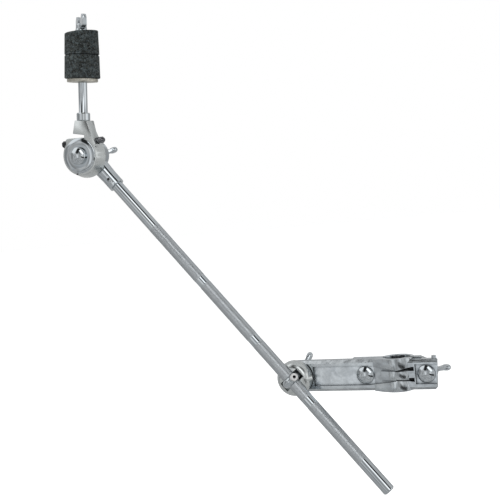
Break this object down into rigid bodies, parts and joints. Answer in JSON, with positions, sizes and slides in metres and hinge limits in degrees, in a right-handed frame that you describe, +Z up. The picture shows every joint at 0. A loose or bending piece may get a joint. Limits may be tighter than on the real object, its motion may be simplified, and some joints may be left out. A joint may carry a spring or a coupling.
{
  "type": "cymbal boom arm",
  "caption": "Cymbal boom arm with a jaw clamp for an upright tube, a swivelling boom holder, a knurled sliding rod and a friction tilter with a felt-padded cymbal post.",
  "frame": {"origin": "centre of the clamped stand tube, halfway up the jaws", "axes": "+X to the clamp's free end, away from the boom holder; +Y to the rear, nut side; +Z up, along the stand tube"},
  "size_m": [0.3855, 0.0914, 0.5224],
  "materials": {
    "chrome_casting": "bright chrome over a die casting",
    "chrome_steel": "polished chrome plate",
    "knurled_steel": "chrome over knurled steel, with polished ends",
    "zinc_steel": "bright zinc plate",
    "black_steel": "black oxide",
    "fibre": "matt friction fibre",
    "black_plastic": "smooth black tube",
    "felt": "pressed charcoal wool felt"
  },
  "bodies": {
    "clamp": {"clamp_casting": "chrome_casting", "jaw_bolt_left": "chrome_steel", "jaw_bolt_right": "chrome_steel", "friction_washer": "fibre", "holder_washer": "zinc_steel"},
    "jaw": {"rear_jaw": "chrome_casting", "jaw_washer_left": "zinc_steel", "jaw_washer_right": "zinc_steel"},
    "left_nut": {"jaw_nut_left": "chrome_casting"},
    "right_nut": {"jaw_nut_right": "chrome_casting"},
    "holder": {"saddle": "chrome_casting", "eyebolt": "chrome_steel"},
    "holder_wing_nut": {"holder_nut": "chrome_casting"},
    "eye_lock": {"eye_screw": "chrome_steel"},
    "boom": {"boom_rod": "knurled_steel"},
    "tilter": {"tilter_casting": "chrome_casting", "tilter_washer": "zinc_steel"},
    "sleeve_lock": {"sleeve_screw": "black_steel"},
    "yoke": {"tilter_yoke": "chrome_casting", "friction_disc": "chrome_steel", "pivot_bolt": "chrome_steel", "brake_nut": "black_steel", "cymbal_post": "chrome_steel", "seat_washer": "zinc_steel", "cymbal_sleeve": "black_plastic", "lower_felt": "felt", "upper_felt": "felt"},
    "brake": {"brake_screw": "chrome_steel"},
    "tilter_wing_nut": {"tilter_nut": "chrome_casting"},
    "post_nut": {"top_nut": "chrome_casting"}
  },
  "joints": [
    {"name": "jaw_opening", "type": "slide", "parent": "clamp", "child": "jaw", "axis": [0, 1, 0], "range_m": [0, 0.01]},
    {"name": "left_nut_spin", "type": "hinge", "parent": "jaw", "child": "left_nut", "pos_m": [-0.0314, 0.0048, 0], "axis": [0, 1, 0], "continuous": true},
    {"name": "right_nut_spin", "type": "hinge", "parent": "jaw", "child": "right_nut", "pos_m": [0.0314, 0.0048, 0], "axis": [0, 1, 0], "continuous": true},
    {"name": "boom_swivel", "type": "hinge", "parent": "clamp", "child": "holder", "pos_m": [-0.1056, 0, 0], "axis": [0, 1, 0], "continuous": true},
    {"name": "holder_nut_spin", "type": "hinge", "parent": "holder", "child": "holder_wing_nut", "pos_m": [-0.1056, -0.0024, 0], "axis": [0, 1, 0], "continuous": true},
    {"name": "eye_screw_turn", "type": "hinge", "parent": "holder", "child": "eye_lock", "pos_m": [-0.1056, -0.02995, 0], "axis": [0.559, -0.6947, 0.4527], "continuous": true},
    {"name": "boom_slide", "type": "slide", "parent": "holder", "child": "boom", "axis": [0.6293, 0, -0.7771], "range_m": [-0.125, 0.255]},
    {"name": "boom_roll", "type": "hinge", "parent": "boom", "child": "tilter", "pos_m": [-0.3117, -0.02995, 0.25451], "axis": [0.6293, 0, -0.7771], "continuous": true},
    {"name": "sleeve_screw_turn", "type": "hinge", "parent": "tilter", "child": "sleeve_lock", "pos_m": [-0.28917, -0.02995, 0.22669], "axis": [0.0812, -0.9945, 0.0658], "continuous": true},
    {"name": "post_tilt", "type": "hinge", "parent": "tilter", "child": "yoke", "pos_m": [-0.31085, -0.02995, 0.25521], "axis": [0, -1, 0], "range_deg": [-60, 100]},
    {"name": "brake_screw_turn", "type": "hinge", "parent": "yoke", "child": "brake", "pos_m": [-0.31085, -0.04615, 0.26951], "axis": [1, 0, 0], "continuous": true},
    {"name": "tilter_nut_spin", "type": "hinge", "parent": "yoke", "child": "tilter_wing_nut", "pos_m": [-0.31085, -0.01865, 0.25521], "axis": [0, 1, 0], "continuous": true},
    {"name": "top_nut_spin", "type": "hinge", "parent": "yoke", "child": "post_nut", "pos_m": [-0.29639, -0.04475, 0.38621], "axis": [0.1097, 0, 0.994], "continuous": true}
  ]
}
